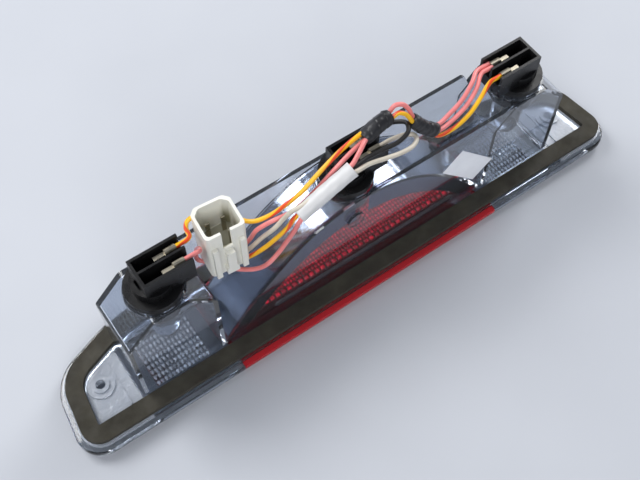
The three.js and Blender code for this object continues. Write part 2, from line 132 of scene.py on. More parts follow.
def shade(piece, angle):
    """Smooth shading that keeps edges sharper than an angle."""
    mesh = piece.data
    mesh.polygons.foreach_set("use_smooth", [True] * len(mesh.polygons))
    work = bmesh.new()
    work.from_mesh(mesh)
    limit = math.radians(angle)
    for edge in work.edges:
        if len(edge.link_faces) == 2:
            edge.smooth = edge.calc_face_angle(0.0) < limit
    work.to_mesh(mesh)
    work.free()


def smooth_line(points, step=1.0):
    """Points about a step apart along a centripetal Catmull-Rom curve through the given ones."""
    p = [Vector(q) for q in points]
    p = [2 * p[0] - p[1]] + p + [2 * p[-1] - p[-2]]
    line = []
    for i in range(1, len(p) - 2):
        a, b, c, d = p[i - 1:i + 3]
        t0, t1, t2 = ((v - u).length ** 0.5 for u, v in ((a, b), (b, c), (c, d)))
        out = ((b - a) / t0 - (c - a) / (t0 + t1) + (c - b) / t1) * t1
        back = ((c - b) / t1 - (d - b) / (t1 + t2) + (d - c) / t2) * t1
        count = max(2, round((c - b).length / step))
        for k in range(count):
            t = k / count
            line.append(
                (2 * t**3 - 3 * t**2 + 1) * b + (t**3 - 2 * t**2 + t) * out
                + (3 * t**2 - 2 * t**3) * c + (t**3 - t**2) * back
            )
    return line + [p[-2]]


def length_of(line):
    """The length of a line of points."""
    return sum((b - a).length for a, b in zip(line, line[1:]))


def sweep(name, line, radius, sides, squash=1.0):
    """A closed tube on a line of points. radius is a number or a function of (share, angle)."""
    rings = len(line)
    total = length_of(line)
    vertices, faces, uvs, along = [], [], [], [0.0]
    for a, b in zip(line, line[1:]):
        along.append(along[-1] + (b - a).length)
    side = None
    for i, centre in enumerate(line):
        ahead = (line[min(i + 1, rings - 1)] - line[max(i - 1, 0)]).normalized()
        if side is None:
            side = Vector((0, 0, 1)).cross(ahead)
            side = side.normalized() if side.length > 0.1 else Vector((1, 0, 0))
        side = (side - ahead * side.dot(ahead)).normalized()
        up = ahead.cross(side)
        for k in range(sides):
            angle = 2 * math.pi * k / sides
            r = radius(along[i] / total, angle) if callable(radius) else radius
            offset = side * math.cos(angle) + up * math.sin(angle) * squash
            vertices.append(centre + offset * r)
    for i in range(rings - 1):
        for k in range(sides):
            n = (k + 1) % sides
            faces.append((i * sides + k, i * sides + n, (i + 1) * sides + n, (i + 1) * sides + k))
            u0, u1 = k / sides, (k + 1) / sides
            v0, v1 = along[i] * 0.01, along[i + 1] * 0.01
            uvs += [(u0, v0), (u1, v0), (u1, v1), (u0, v1)]
    faces.append(tuple(reversed(range(sides))))
    faces.append(tuple((rings - 1) * sides + k for k in range(sides)))
    uvs += [(0, 0)] * (2 * sides)
    return mesh_object(name, vertices, faces, uvs)


def lathe(name, profile, place, sides):
    """A body of revolution about +Z at place, from (radius, height) pairs."""
    vertices, faces = [], []
    for radius, height in profile:
        for k in range(sides):
            angle = 2 * math.pi * k / sides
            vertices.append((
                place[0] + radius * math.cos(angle), place[1] + radius * math.sin(angle),
                place[2] + height,
            ))
    for i in range(len(profile) - 1):
        for k in range(sides):
            n = (k + 1) % sides
            faces.append((i * sides + k, i * sides + n, (i + 1) * sides + n, (i + 1) * sides + k))
    piece = mesh_object(name, vertices, faces)
    work = bmesh.new()
    work.from_mesh(piece.data)
    bmesh.ops.remove_doubles(work, verts=work.verts, dist=1e-6)
    bmesh.ops.recalc_face_normals(work, faces=work.faces)
    work.to_mesh(piece.data)
    work.free()
    return piece


# ---- materials ------------------------------------------------------------------------------
class Nodes:
    """A short way to write a material's nodes."""

    def __init__(self, name):
        self.material = bpy.data.materials.new(name)
        self.material.use_nodes = True
        self.tree = self.material.node_tree
        self.shader = self.tree.nodes["Principled BSDF"]
        self.place = self.tree.nodes.new("ShaderNodeTexCoord")

    def add(self, kind, links=None, **settings):
        node = self.tree.nodes.new(kind)
        for key, value in settings.items():
            setattr(node, key, value)
        for key, value in (links or {}).items():
            socket = node.inputs[key]
            if hasattr(value, "is_output"):
                self.tree.links.new(value, socket)
            else:
                socket.default_value = value
        return node

    def set(self, **values):
        for key, value in values.items():
            socket = self.shader.inputs[key.replace("_", " ")]
            if hasattr(value, "is_output"):
                self.tree.links.new(value, socket)
            else:
                socket.default_value = value

    def noise(self, scale, detail):
        return self.add("ShaderNodeTexNoise", {
            "Vector": self.place.outputs["Object"],
            "Scale": scale, "Detail": detail, "Roughness": 0.5,
        }).outputs["Fac"]

    def spread(self, value, low, high, start=0.3, end=0.7):
        return self.add("ShaderNodeMapRange", {
            "Value": value, "From Min": start, "From Max": end, "To Min": low, "To Max": high,
        }).outputs["Result"]

    def colours(self, value, *stops):
        ramp = self.add("ShaderNodeValToRGB", {"Fac": value})
        elements = ramp.color_ramp.elements
        while len(elements) < len(stops):
            elements.new(0.5)
        for element, (position, colour) in zip(elements, stops):
            element.position = position
            element.color = (*colour, 1)
        return ramp.outputs["Color"]

    def bump(self, value, distance, strength, before=None):
        links = {"Height": value, "Distance": distance * MM, "Strength": strength}
        if before:
            links["Normal"] = before
        return self.add("ShaderNodeBump", links).outputs["Normal"]


def moulded(name, colour, rough, grain=900.0, relief=0.02, vary=0.12, wear=0.0):
    """Moulded plastic, rubber or paper: fine grain, slight mottling and worn, paler edges."""
    n = Nodes(name)
    mottle = n.noise(70.0, 4.0)
    dark = tuple(c * (1 - vary) for c in colour)
    light = tuple(min(1.0, c * (1 + vary)) for c in colour)
    base = n.colours(mottle, (0.3, dark), (0.7, light))
    if wear:
        edges = n.add("ShaderNodeNewGeometry").outputs["Pointiness"]
        amount = n.spread(edges, 0.0, wear, 0.52, 0.6)
        worn = tuple(min(1.0, c * 2.2 + 0.08) for c in colour)
        base = n.add("ShaderNodeMixRGB", {"Fac": amount, "Color1": base, "Color2": (*worn, 1)})
        base = base.outputs["Color"]
    n.set(
        Base_Color=base,
        Roughness=n.spread(n.noise(180.0, 3.0), rough * 0.8, min(1.0, rough * 1.2)),
        Normal=n.bump(n.noise(grain, 2.0), relief, 0.6),
    )
    return n.material


def clear_plastic(name, colour, rough=0.03, flow=0.25, ior=1.5, through=1.0):
    """Clear moulded plastic, with the faint waviness of its walls."""
    n = Nodes(name)
    wave = n.noise(38.0, 2.0)
    dust = n.noise(420.0, 4.0)
    n.set(
        Base_Color=n.colours(wave, (0.3, colour), (0.75, tuple(c * 0.93 for c in colour))),
        Roughness=n.spread(dust, rough, rough + 0.1, 0.45, 0.8),
        Normal=n.bump(wave, flow, 0.25),
    )
    n.set(Transmission_Weight=through, IOR=ior)
    return n.material


def glowing(name, colour, strength):
    """Small moulded optics, with a painted glow added to them for the light and highlights that
    they gather through the lens.
    """
    n = Nodes(name)
    fine = n.noise(900.0, 3.0)
    n.set(
        Base_Color=n.colours(fine, (0.3, tuple(c * 0.8 for c in colour)), (0.7, colour)),
        Roughness=n.spread(fine, 0.05, 0.15),
        # painted glow: emission, patchy by noise, stands in for light and highlights on parts that
        # are no lamp
        Emission_Color=(*colour, 1),
        Emission_Strength=n.spread(n.noise(420.0, 3.0), 0.15 * strength, strength, 0.42, 0.62),
    )
    n.set(Transmission_Weight=0.2, IOR=1.5)
    return n.material


def metal(name, colour, rough):
    """Plain metal with faint clouding and uneven polish."""
    n = Nodes(name)
    cloud = n.noise(55.0, 3.0)
    n.set(
        Base_Color=n.colours(cloud, (0.3, tuple(c * 0.85 for c in colour)), (0.7, colour)),
        Roughness=n.spread(n.noise(260.0, 4.0), rough * 0.7, rough * 1.4),
        Metallic=1.0,
        Normal=n.bump(n.noise(700.0, 2.0), 0.01, 0.5),
    )
    return n.material


def insulated(name, colour, stripe=None, width=0.3, rough=0.33):
    """Wire insulation: fine extrusion lines, and a tracer stripe that winds slowly round it."""
    n = Nodes(name)
    uv = n.place.outputs["UV"]
    split = n.add("ShaderNodeSeparateXYZ", {"Vector": uv})
    mottle = n.noise(130.0, 3.0)
    dark = tuple(c * 0.88 for c in colour)
    light = tuple(min(1, c * 1.05) for c in colour)
    base = n.colours(mottle, (0.3, dark), (0.7, light))
    if stripe:
        wind = n.add("ShaderNodeMath", {0: split.outputs["Y"], 1: 2.6}, operation="MULTIPLY")
        turn = n.add("ShaderNodeMath", {0: split.outputs["X"], 1: wind.outputs[0]}, operation="ADD")
        share = n.add("ShaderNodeMath", {0: turn.outputs[0]}, operation="FRACT")
        middle = n.add("ShaderNodeMath", {0: share.outputs[0], 1: 0.5}, operation="SUBTRACT")
        away = n.add("ShaderNodeMath", {0: middle.outputs[0]}, operation="ABSOLUTE")
        mask = n.spread(away.outputs[0], 1.0, 0.0, width / 2 - 0.02, width / 2 + 0.02)
        base = n.add("ShaderNodeMixRGB", {"Fac": mask, "Color1": base, "Color2": (*stripe, 1)})
        base = base.outputs["Color"]
    n.set(
        Base_Color=base,
        Roughness=n.spread(n.noise(300.0, 3.0), rough * 0.8, rough * 1.25),
        Normal=n.bump(n.noise(500.0, 3.0), 0.03, 0.5),
    )
    n.set(Coat_Weight=0.15, Coat_Roughness=0.25)
    return n.material


CLEAR_LENS = clear_plastic("clear_lens", (0.86, 0.90, 0.95), rough=0.04)
RED = clear_plastic("red_lens", (0.95, 0.008, 0.022), rough=0.05, flow=0.15, through=0.6)
TIN = metal("tin_plate", (0.46, 0.42, 0.33), 0.34)
FOAM = moulded("foam", (0.040, 0.036, 0.026), 0.92, grain=1500.0, relief=0.12, vary=0.3)
BLACK = moulded("black_plastic", (0.005, 0.005, 0.0055), 0.30, grain=1100.0, relief=0.02, wear=0.06)
BLACK.node_tree.nodes["Principled BSDF"].inputs["Specular IOR Level"].default_value = 0.32
RUBBER = moulded("rubber", (0.02, 0.02, 0.021), 0.7, grain=900.0, relief=0.03)
PAPER = moulded("paper", (0.90, 0.92, 0.96), 0.85, grain=1800.0, relief=0.03, vary=0.05)
SLEEVE = moulded("sleeve", (0.66, 0.66, 0.66), 0.42, grain=500.0, relief=0.05, vary=0.05)
AMBER = insulated("wire_amber", (0.98, 0.52, 0.010), stripe=(0.80, 0.075, 0.01), width=0.24)
PINK = insulated("wire_pink", (0.86, 0.25, 0.24))
WHITE = insulated("wire_white", (0.66, 0.60, 0.50))
DARK = insulated("wire_dark", (0.014, 0.013, 0.013), rough=0.4)
BULB_GLASS = clear_plastic("bulb_glass", (0.97, 0.97, 0.97), rough=0.01, flow=0.0, ior=1.08)
FILAMENT = metal("filament", (0.35, 0.34, 0.33), 0.4)


def inside(n, axis, start, end):
    """0 to 1 as a piece's own coordinate on an axis runs from start to end, in millimetres."""
    split = n.add("ShaderNodeSeparateXYZ", {"Vector": n.place.outputs["Object"]})
    return n.spread(split.outputs[axis], 0.0, 1.0, start * MM, end * MM)


def blend_colours(n, share, first, second):
    """From the first colour to the second as share goes from 0 to 1."""
    mix = n.add("ShaderNodeMixRGB", {"Fac": share, "Color1": first, "Color2": second})
    return mix.outputs["Color"]


def product(n, *shares):
    """All of the shares multiplied together."""
    result = shares[0]
    for share in shares[1:]:
        result = n.add("ShaderNodeMath", {0: result, 1: share}, operation="MULTIPLY").outputs[0]
    return result


def nylon_material():
    """Natural nylon, with painted shade making it browner down inside the connector's mouth."""
    n = Nodes("nylon")
    base = n.colours(n.noise(45.0, 4.0), (0.3, (0.76, 0.75, 0.67)), (0.7, (0.86, 0.85, 0.79)))
    # painted shade: a dark brown blended in down inside the mouth, where shade falls
    mouth_painted_shade = product(
        n, inside(n, "X", MOUTH_X[0] - 0.3, MOUTH_X[0] + 0.3),
        inside(n, "X", MOUTH_X[1] + 0.3, MOUTH_X[1] - 0.3),
        inside(n, "Y", MOUTH_Y[0] - 0.3, MOUTH_Y[0] + 0.3),
        inside(n, "Y", MOUTH_Y[1] + 0.3, MOUTH_Y[1] - 0.3),
        inside(n, "Z", 97, 84), inside(n, "Z", 76, 79),
    )
    n.set(
        Base_Color=blend_colours(n, mouth_painted_shade, base, (0.30, 0.28, 0.17, 1)),
        Roughness=n.spread(n.noise(220.0, 3.0), 0.33, 0.52),
        Normal=n.bump(n.noise(800.0, 2.0), 0.03, 0.5),
    )
    n.set(Subsurface_Weight=0.12, Subsurface_Radius=(0.002, 0.0018, 0.0015), Subsurface_Scale=1.0)
    return n.material


def mirror_material():
    """Vacuum-metallised plastic: bright chrome on the arch, and a painted dark-blue reflection on
    its near face.
    """
    n = Nodes("metallised")
    cloud = n.noise(55.0, 3.0)
    chrome = n.colours(cloud, (0.3, (0.46, 0.47, 0.50)), (0.7, (0.60, 0.61, 0.65)))
    # painted reflection: the near face gets a dark blue base colour standing for the shade that it
    # mirrors
    near = inside(n, "Y", PAINTED_REFLECTION_Y + 0.4, PAINTED_REFLECTION_Y)
    n.set(
        Base_Color=blend_colours(n, near, chrome, (0.085, 0.085, 0.20, 1)),
        Roughness=n.spread(n.noise(260.0, 4.0), 0.12, 0.22),
        Normal=n.bump(n.noise(28.0, 2.0), 0.3, 0.5),
    )
    n.set(Metallic=1.0)
    return n.material


def housing_material():
    """The housing's clear plastic, with the matt moulding texture on the flange's ends."""
    n = Nodes("clear_housing")
    wave = n.noise(38.0, 2.0)
    split = n.add("ShaderNodeSeparateXYZ", {"Vector": n.place.outputs["Object"]})
    reach = n.add("ShaderNodeMath", {0: split.outputs["X"]}, operation="ABSOLUTE").outputs[0]
    start, end = (MATT_FROM - 0.5) * MM, (MATT_FROM + 0.5) * MM
    matt = product(n, n.spread(reach, 0.0, 1.0, start, end), inside(n, "Z", 13.4, 12.6))
    grain = product(n, matt, n.noise(260.0, 5.0))
    dust = n.spread(n.noise(420.0, 4.0), 0.03, 0.12, 0.45, 0.8)
    coarse = n.add("ShaderNodeMath", {0: matt, 1: 0.16}, operation="MULTIPLY").outputs[0]
    through = n.add("ShaderNodeMath", {0: matt, 1: -0.35, 2: 0.975}, operation="MULTIPLY_ADD")
    n.set(
        Base_Color=n.colours(wave, (0.3, (0.80, 0.85, 0.93)), (0.75, (0.74, 0.79, 0.87))),
        Roughness=n.add("ShaderNodeMath", {0: dust, 1: coarse}, operation="ADD").outputs[0],
        Transmission_Weight=through.outputs[0],
        Normal=n.bump(grain, 0.5, 0.8, before=n.bump(wave, 0.25, 0.25)),
    )
    n.set(IOR=1.5)
    return n.material


MIRROR = mirror_material()
HOUSING = housing_material()
NYLON = nylon_material()

tape = Nodes("tape")
tape_wave = tape.noise(110.0, 4.0)
tape.set(
    Base_Color=tape.colours(tape_wave, (0.3, (0.012, 0.012, 0.014)), (0.7, (0.028, 0.028, 0.032))),
    Roughness=tape.spread(tape.noise(150.0, 3.0), 0.25, 0.5),
    Normal=tape.bump(tape_wave, 0.35, 0.6),
)
TAPE = tape.material


# ---- wires ----------------------------------------------------------------------------------
def crimp(name, y):
    """From inside a socket's crimp out to where the wire starts to bend."""
    x, facing = SOCKETS[name]
    return [(x + facing * reach, y, TAIL_Z) for reach in (22.9, 20.0, 16.4)]


FAR_Y = SOCKET_Y + CHANNEL
NEAR_Y = SOCKET_Y - CHANNEL

# name, material, record slot, points, nodes stood for, and for a wire that reaches a socket its
# body and the stretch over which it starts to turn with it
CORDS = [
    ("cord_left_amber", AMBER, "amber", [
        *reversed(crimp("left", FAR_Y)), (-87, 3.3, 94.5), (-85.7, 9, 92.6), (-82.2, 13.8, 90),
        (-75, 15.4, 86.5), (-67, 15, 82), (-60.2, 11.2, 79), (-57, 6, 76.8), (-53, 1.8, 77.8),
        (-46, -2, 82), (-38, -4.4, 87.6), (-30, -5.5, 92.6), (-16, -4.5, 100.6), (-4, -3.2, 105.4),
        (5.8, -2.6, 107.8), (11, -2.4, 108.6), (15, -2.3, 108.8),
    ], ["wire_left_amber", "tail_left_amber"], ("socket_left", (-66, 2, 94), (-89.2, 2, 94))),
    ("cord_left_pink", PINK, "pink", [
        *reversed(crimp("left", NEAR_Y)), (-86.8, -5.4, 93.2), (-85.4, -1.5, 88), (-85, 3, 80),
        (-84.9, 6.6, 69), (-83.8, 7, 62), (-79.4, 5, 58.4), (-73, -1.4, 55.6),
        (-66, -8, 56), (-61, -12, 58), (-56.5, -14.2, 61.2),
        (-50, -14.2, 65.6), (-44, -14, 72), (-40, -15.2, 80.5), (-38.2, -16.8, 88.4),
        (-34, -16.2, 91.8), (-21, -14.9, 98.6), (-8.6, -13.7, 104), (-4.2, -12.9, 105.6),
        (0, -11.2, 107.8), (3.6, -9.2, 108.6), (6.4, -7.4, 108.4), (11, -5.2, 107.8),
        (15, -4, 108.4),
    ], ["wire_left_pink", "tail_left_pink", "wire_sleeve_pink"],
        ("socket_left", (-78, -4, 72), (-91, -5, 93))),
    ("cord_feed_pink", PINK, "pink", [
        (-67.5, 5.9, 66.5), (-67.5, 5.9, 62.7), (-66.6, 5.6, 58.4), (-61, 3.6, 58), (-57, 1, 65),
        (-54, -1.8, 75), (-48, -4.8, 81), (-36, -7.8, 84.8), (-24, -8.2, 91.2), (-13, -7.8, 98.7),
        (-3, -6.8, 103.6), (5.8, -5.4, 105.6), (11, -4.6, 106.4), (15, -3.8, 107.2),
    ], ["wire_feed_pink"], None),
    ("cord_feed_orange", AMBER, "amber", [
        (-68.2, -2, 66.5), (-68.2, -2, 62.7), (-67.6, -2.5, 59.2), (-61.5, -5, 60.5),
        (-54.5, -8.4, 67), (-48, -10.6, 74), (-42.6, -12.6, 81.5), (-38.6, -13.8, 89.4),
        (-35, -14.2, 92.4), (-28, -14.6, 95.6),
    ], ["wire_feed_orange"], None),
    ("cord_feed_white", WHITE, "white", [
        (-75.8, 6.6, 66.5), (-75.8, 6.6, 62.7), (-75, 6, 57.5), (-68, 3, 54.5), (-60.5, -1.4, 60.6),
        (-53, -4.8, 71), (-47.2, -8.3, 79.8), (-42.8, -10, 87), (-39, -12, 93.2),
        (-35, -13, 94.6), (-28, -13.6, 96.6),
    ], ["wire_feed_white"], None),
    ("cord_centre_white", WHITE, "white", [
        (-16, -15.6, 99.4), (-9, -16, 102.4), (-4, -16.4, 103.2), (4, -15.6, 101.6),
        (13, -17, 100.5), (22, -18, 99.2), (29, -17.4, 98.2), (33.6, -14.6, 97.6), (34, -11.2, 97),
        (30.5, -8.6, 96.4), (26.4, -6.9, 95.2), *crimp("centre", NEAR_Y),
    ], ["wire_centre_white", "tail_centre_white"],
        ("socket_centre", (30, -14.5, 97), (30, -7, 97))),
    ("cord_centre_black", DARK, "dark", [
        (-16, -13.6, 100.4), (-9, -13.2, 102.4), (-3.4, -13.1, 102.2), (6, -12, 101.6),
        (15, -12.7, 101.6), (24, -13.2, 101.8), (30.5, -11.2, 102.6), (32.6, -7, 102.8),
        (30.8, -2.6, 100.4), (27.4, 1.2, 97), (24.8, 2.2, 95.2), *crimp("centre", FAR_Y),
    ], ["wire_centre_black", "tail_centre_black"],
        ("socket_centre", (28, -10, 100), (28, 1.5, 100))),
    ("cord_right_pink_1", PINK, "pink", [
        (17, -1.8, 109), (21, -1.2, 109.4), (26.2, -0.6, 109.8), (29.2, -0.6, 112.4),
        (33, -2.2, 112.2), (35.4, -4.6, 108.8), (36, -6, 105.9), (38, -8.4, 102), (42, -10.6, 98),
        (49.2, -12, 94.2), (58, -10, 93.6), (69, -7, 94.4), (79.5, -2, 96), (86, 2.6, 95.4),
        *crimp("right", FAR_Y + PAIR_SHIFT),
    ], ["wire_arc_pink", "wire_right_pink_1", "tail_right_pink_1"],
        ("socket_right", (60, 0, 94), (88, 0, 94))),
    ("cord_right_pink_2", PINK, "pink", [
        (40, -11, 99), (44, -13.2, 95.4), (48.2, -14.3, 92.8), (58, -13, 91.8), (70, -10, 92.6),
        (80.5, -5, 94.2), (86, -0.6, 94.7), *crimp("right", FAR_Y - PAIR_SHIFT),
    ], ["wire_right_pink_2", "tail_right_pink_2"], ("socket_right", (60, 0, 94), (88, 0, 94))),
    ("cord_right_amber", AMBER, "amber", [
        (17, -3.4, 108.6), (21, -3.4, 108.6), (26.2, -3.6, 108.8), (29, -4, 110.2),
        (31.6, -5.4, 109.4), (33.6, -7.2, 106.8), (34.4, -8.4, 104.8), (37, -10.2, 101.4),
        (41.5, -13, 96.6), (47.4, -15.4, 90.3), (57, -15.8, 89), (69, -13.8, 89.8),
        (80, -9.8, 92.4), (86, -7.1, 94), *crimp("right", NEAR_Y),
    ], ["wire_arc_amber", "wire_right_amber", "tail_right_amber"],
        ("socket_right", (60, 0, 94), (88, 0, 94))),
]

for name, material, slot, points, nodes, turning in CORDS:
    line = smooth_line(points, 0.9)
    cord = sweep(name, line, WIRE / 2, sides=14)
    cord.data.materials.append(material)
    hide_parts(*nodes)
    if turning:
        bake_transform(cord)
    else:
        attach(cord, "lamp")


# ---- sleeve and tape ------------------------------------------------------------------------
def sleeve_radius(share, angle):
    """The sleeve's radius, with faint wrinkles and a slightly flared end."""
    wrinkle = 0.12 * math.sin(9 * share * math.pi + 2 * angle) * math.sin(angle * 2)
    lip = 0.25 * max(0.0, share - 0.93) / 0.07
    return SLEEVE_RADIUS + wrinkle + lip


sleeve_line = smooth_line([(-36.8, -14.8, 90.6), (-21, -14.8, 98), (-5.6, -14.6, 104)], 0.8)
sleeve = sweep("white_sleeve", sleeve_line, sleeve_radius, sides=40, squash=SLEEVE_SQUASH)
finish_piece(sleeve, SLEEVE)
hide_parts("harness_sleeve")


def wrapped(base, turns):
    """The radius of a bundle under a winding of tape: spiral steps, wrinkles and three wires."""
    tape_step, rise = 0.34, 0.06

    def radius(share, angle):
        wind = (turns * share + angle / (2 * math.pi)) % 1.0
        step = tape_step * (1 - wind) if wind > rise else tape_step * wind / rise
        bulge = 0.28 * math.cos(3 * angle + 1.5 * share)
        around = (share * 9, math.cos(angle) * 1.6, math.sin(angle) * 1.6)
        crease = 0.22 * noise.noise(Vector(around))
        taper = 1 - 0.14 * max(0.0, abs(2 * share - 1) - 0.82) / 0.18
        return (base + step + bulge + crease) * taper

    return radius


for number, points, base, turns in (
    (1, [(8.0, -4.8, 106.3), (16, -3.2, 108.4), (25.2, -2, 109)], 4.05, 3.4),
    (2, [(35.4, -7.8, 104.2), (40.5, -11.2, 98.4), (47.1, -13.7, 93.4)], 3.75, 4.2),
):
    tape_line = smooth_line(points, 0.3)
    wrap = sweep(f"tape_{number}", tape_line, wrapped(base, turns), sides=44, squash=0.94)
    finish_piece(wrap, TAPE)
    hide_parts(f"tape_wrap_{number}")


# ---- lens -----------------------------------------------------------------------------------
RIGHT = [                       # x, y and radius of each corner on the right
    (SEAL_HALF, -SEAL_EDGE, 10.5),
    (SEAL_HALF - 5.5, SEAL_EDGE - 16, 22),
    (SEAL_HALF - 49, SEAL_EDGE, 80),
]
CORNERS = RIGHT + [(-x, y, r) for x, y, r in reversed(RIGHT)]


def outline(grow):
    """The lamp's outline, grown: the same number of points whatever the growth."""
    arc, straight = 10, 24          # steps on a corner and on a side
    points, count = [], len(CORNERS)
    arcs = []
    for i, (x, y, radius) in enumerate(CORNERS):
        here = Vector((x, y))
        before = (here - Vector(CORNERS[i - 1][:2])).normalized()
        after = (Vector(CORNERS[(i + 1) % count][:2]) - here).normalized()
        turn = math.atan2(before.x * after.y - before.y * after.x, before.dot(after))
        inward = Vector((-before.y, before.x))
        centre = here - before * radius * math.tan(turn / 2) + inward * radius
        start = math.atan2(-before.x, before.y)
        arcs.append([
            centre + Vector((math.cos(a), math.sin(a))) * (radius + grow)
            for a in (start + turn * k / arc for k in range(arc + 1))
        ])
    for i, corner in enumerate(arcs):
        points += corner
        onward = arcs[(i + 1) % count][0] - corner[-1]
        points += [corner[-1] + onward * k / straight for k in range(1, straight)]
    return points


def lens_shell():
    """The whole lens: rounded face, rim and inner tray, before it is parted by colour."""
    levels, steps = [], 12
    for k in range(steps + 1):
        angle = math.pi / 2 * k / steps
        grow = LENS_RIM - LENS_ROUND + LENS_ROUND * math.sin(angle)
        levels.append((grow, LENS_DOME * (1 - math.cos(angle))))
    levels += [(LENS_RIM, 6.4), (LENS_RIM - 0.3, 7.0), (LENS_RIM - 0.8, LENS_DEPTH)]
    levels += [
        (-SEAL_BAND + 0.3, LENS_DEPTH), (-SEAL_BAND, LENS_DEPTH - 0.4), (-SEAL_BAND, LENS_FLOOR),
    ]
    loops = [outline(grow) for grow, _ in levels]
    size = len(loops[0])
    vertices = [(p.x, p.y, z) for loop, (_, z) in zip(loops, levels) for p in loop]
    faces = []
    for i in range(len(levels) - 1):
        for k in range(size):
            n = (k + 1) % size
            faces.append((i * size + k, (i + 1) * size + k, (i + 1) * size + n, i * size + n))
    faces.append(tuple(range(size)))
    faces.append(tuple((len(levels) - 1) * size + k for k in range(size)))
    return vertices, faces


def lens_part(name, low, high, material, node):
    """The stretch of the lens between two places along X, closed where it is cut."""
    vertices, faces = lens_shell()
    piece = mesh_object(name, vertices, faces)
    work = bmesh.new()
    work.from_mesh(piece.data)
    for x, side in ((low, -1), (high, 1)):
        if x is None:
            continue
        everything = work.verts[:] + work.edges[:] + work.faces[:]
        cut = bmesh.ops.bisect_plane(
            work, geom=everything, plane_co=(x * MM, 0, 0), plane_no=(side, 0, 0), clear_outer=True,
        )
        edges = [g for g in cut["geom_cut"] if isinstance(g, bmesh.types.BMEdge)]
        bmesh.ops.edgenet_fill(work, edges=edges)
    bmesh.ops.recalc_face_normals(work, faces=work.faces)
    work.to_mesh(piece.data)
    work.free()
    shade(piece, 35)
    finish_piece(piece, material)
    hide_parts(node)


JOINT = RED_HALF + HALF_JOINT
lens_part("lens_red", HALF_JOINT - RED_HALF, RED_HALF - HALF_JOINT, RED, "lens_stop_red")
lens_part("lens_clear_left", None, -JOINT, CLEAR_LENS, "lens_cargo_left")
lens_part("lens_clear_right", JOINT, None, CLEAR_LENS, "lens_cargo_right")


def pillows(name, x0, x1, y0, y1, pitch, gap, height, share, materials, fine=6):
    """Rows of small domed optics on a plate that lies on the inside of the lens.

    pitch and gap are the spacing along X and Y, share is how much of its row a dome fills, and
    materials are for the plate and for the domes.
    """
    columns = max(1, round((x1 - x0) / pitch))
    rows = max(1, round((y1 - y0) / gap))
    nx, ny = columns * fine, rows * fine
    vertices = []
    for j in range(ny + 1):
        for i in range(nx + 1):
            u, v = (i / fine) % 1.0, (j / fine) % 1.0
            v = min(1.0, max(0.0, (v - 0.5) / share + 0.5))
            dome = (math.sin(math.pi * u) * math.sin(math.pi * v)) ** 0.6
            x, y = x0 + (x1 - x0) * i / nx, y0 + (y1 - y0) * j / ny
            vertices.append((x, y, OPTIC_FOOT + height * dome))
    faces = []
    for j in range(ny):
        for i in range(nx):
            a = j * (nx + 1) + i
            faces.append((a, a + 1, a + nx + 2, a + nx + 1))
    raised = [
        sum(vertices[v][2] for v in face) / 4 > OPTIC_FOOT + 0.35 * height for face in faces
    ]
    low = len(vertices)
    edge = (
        [i for i in range(nx + 1)]
        + [j * (nx + 1) + nx for j in range(1, ny + 1)]
        + [ny * (nx + 1) + i for i in range(nx - 1, -1, -1)]
        + [j * (nx + 1) for j in range(ny - 1, 0, -1)]
    )
    for index in edge:
        x, y, _ = vertices[index]
        vertices.append((x, y, OPTIC_FOOT - 0.3))
    count = len(edge)
    for k in range(count):
        n = (k + 1) % count
        faces.append((edge[n], edge[k], low + k, low + n))
    faces.append(tuple(low + k for k in reversed(range(count))))
    piece = mesh_object(name, vertices, faces)
    finish_piece(piece, materials[0])
    piece.data.materials.append(materials[1])
    for polygon, up in zip(piece.data.polygons, raised):
        polygon.material_index = int(up)


# painted shade and glow: the red plate and the flat stretch get a darkened copy of the red optic
# plastic, and the red and clear domes a glowing lit copy
SHADED_RED_PLATE = clear_plastic("red_plate", (0.26, 0.002, 0.006), rough=0.10, flow=0.0, through=0.3)
OPTIC_RED = glowing("red_optics", (0.95, 0.010, 0.040), 0.95)
OPTIC_CLEAR = glowing("clear_optics", (0.80, 0.86, 0.97), 0.34)
RIB = clear_plastic("grey_rib", (0.40, 0.33, 0.33), rough=0.16, flow=0.0, through=0.1)
RED_PAIR = (SHADED_RED_PLATE, OPTIC_RED)
CLEAR_PAIR = (CLEAR_LENS, OPTIC_CLEAR)
STOP_END = 84
pillows(
    "optics_stop_near", -STOP_END, STOP_END, -6.6, -3.2, 3.8, 3.4, 1.7, 0.8, RED_PAIR,
)
pillows(
    "optics_stop", -STOP_END, STOP_END, -3.0, 18, 2.1, 2.6, 0.9, 0.62, RED_PAIR, fine=5,
)
pillows(
    "optics_stop_flat", -STOP_END, STOP_END, -19, -6.8, 2 * STOP_END, 12.2, 0.04, 0.2,
    (SHADED_RED_PLATE, SHADED_RED_PLATE), fine=8,
)
for side, x0, x1 in (("left", -130.0, -97.0), ("right", 97.0, 130.0)):
    pillows(f"optics_cargo_{side}", x0, x1, -14, 14.2, 2.3, 3.7, 1.5, 0.62, CLEAR_PAIR)


def lens_rib():
    """The low moulded rib with rounded ends along the near side of the red lens."""
    line = smooth_line([(-53, -9.6, 3.9), (-20, -9.5, 3.9), (25, -9.3, 3.9), (74, -9.0, 3.9)], 2.0)
    full, rounding = 1.15, 0.012

    def radius(share, _angle):
        end = min(share, 1 - share) / rounding
        return full * (1.0 if end >= 1 else max(0.05, math.sqrt(1 - (1 - end) ** 2)))

    rib = sweep("lens_rib", line, radius, sides=16)
    finish_piece(rib, RIB)


lens_rib()


